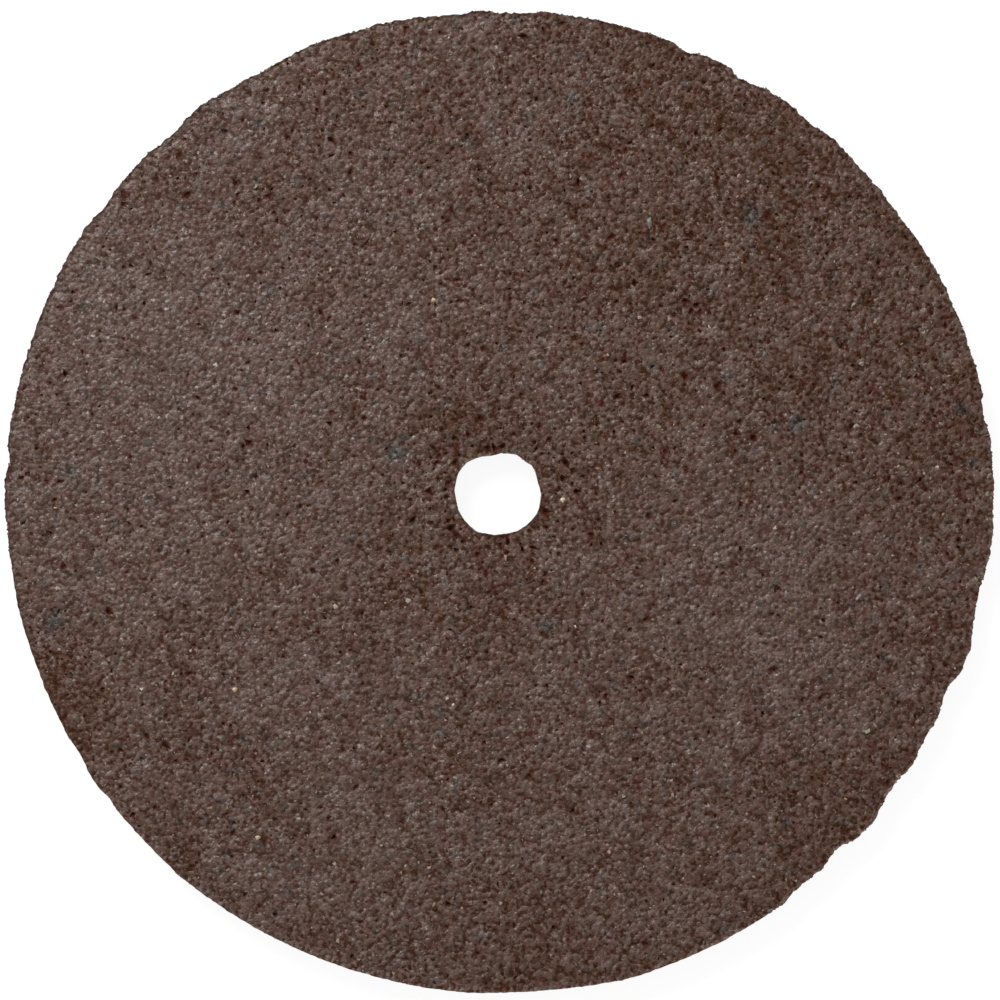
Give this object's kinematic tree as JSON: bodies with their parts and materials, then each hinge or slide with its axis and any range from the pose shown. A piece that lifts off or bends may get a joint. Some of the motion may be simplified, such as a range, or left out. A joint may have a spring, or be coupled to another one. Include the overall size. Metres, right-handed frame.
{
  "type": "cut-off wheel",
  "caption": "Thin flat disc of resin-bonded abrasive grit with a central arbor hole and a worn, chipped rim, for cutting on a small rotary tool.",
  "frame": {"origin": "on the arbor hole's axis, at the wheel's lower face", "axes": "+Z along the arbor hole's axis, through the wheel's thickness; +Y is up in the picture"},
  "size_m": [0.0241, 0.024, 0.001],
  "materials": {
    "bonded_grit": "rough"
  },
  "bodies": {
    "root": {"abrasive_wheel": "bonded_grit"}
  },
  "joints": []
}
